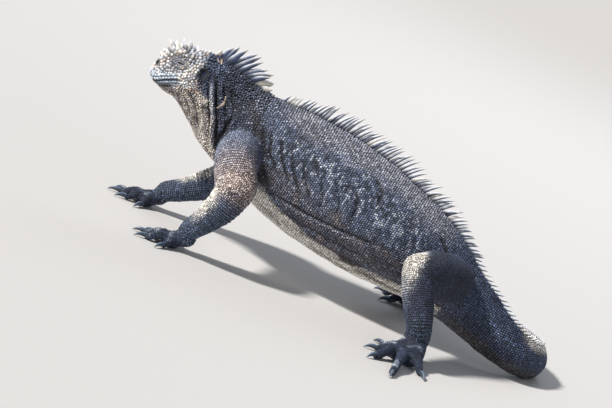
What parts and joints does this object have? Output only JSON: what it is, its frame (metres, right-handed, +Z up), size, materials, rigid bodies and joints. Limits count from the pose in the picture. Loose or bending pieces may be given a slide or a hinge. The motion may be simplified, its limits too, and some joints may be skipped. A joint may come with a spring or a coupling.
{
  "type": "marine iguana",
  "caption": "Life-size marine iguana with its chest raised: spiny crest, blunt head of cone scales, splayed clawed feet, and a tail that sweeps round on the floor.",
  "frame": {"origin": "on the floor, under the middle of the outline's box", "axes": "the head faces -X, the animal's left side faces -Y, +Z up"},
  "size_m": [0.4868, 0.4422, 0.1966],
  "materials": {
    "skin": "matte",
    "head_scales": "matte",
    "eye": "gloss",
    "claw": "satin"
  },
  "bodies": {
    "root": {"head": "head_scales", "neck": "skin", "torso_front": "skin", "torso_rear": "skin", "tail_root": "skin", "tail_bend_front": "skin", "tail_bend_back": "skin", "tail_middle": "skin", "tail_end": "skin", "tail_tip": "skin", "upper_arm_left": "skin", "forearm_left": "skin", "hand_left": "skin", "upper_arm_right": "skin", "forearm_right": "skin", "hand_right": "skin", "thigh_left": "skin", "shin_left": "skin", "foot_left": "skin", "thigh_right": "skin", "shin_right": "skin", "foot_right": "skin", "eye_left": "eye", "eye_right": "eye", "hand_left_claw_1": "claw", "hand_left_claw_2": "claw", "hand_left_claw_3": "claw", "hand_left_claw_4": "claw", "hand_left_claw_5": "claw", "hand_right_claw_1": "claw", "hand_right_claw_2": "claw", "hand_right_claw_3": "claw", "hand_right_claw_4": "claw", "hand_right_claw_5": "claw", "foot_left_claw_1": "claw", "foot_left_claw_2": "claw", "foot_left_claw_3": "claw", "foot_left_claw_4": "claw", "foot_left_claw_5": "claw", "foot_right_claw_1": "claw", "foot_right_claw_2": "claw", "foot_right_claw_3": "claw", "foot_right_claw_4": "claw", "foot_right_claw_5": "claw"}
  },
  "joints": []
}
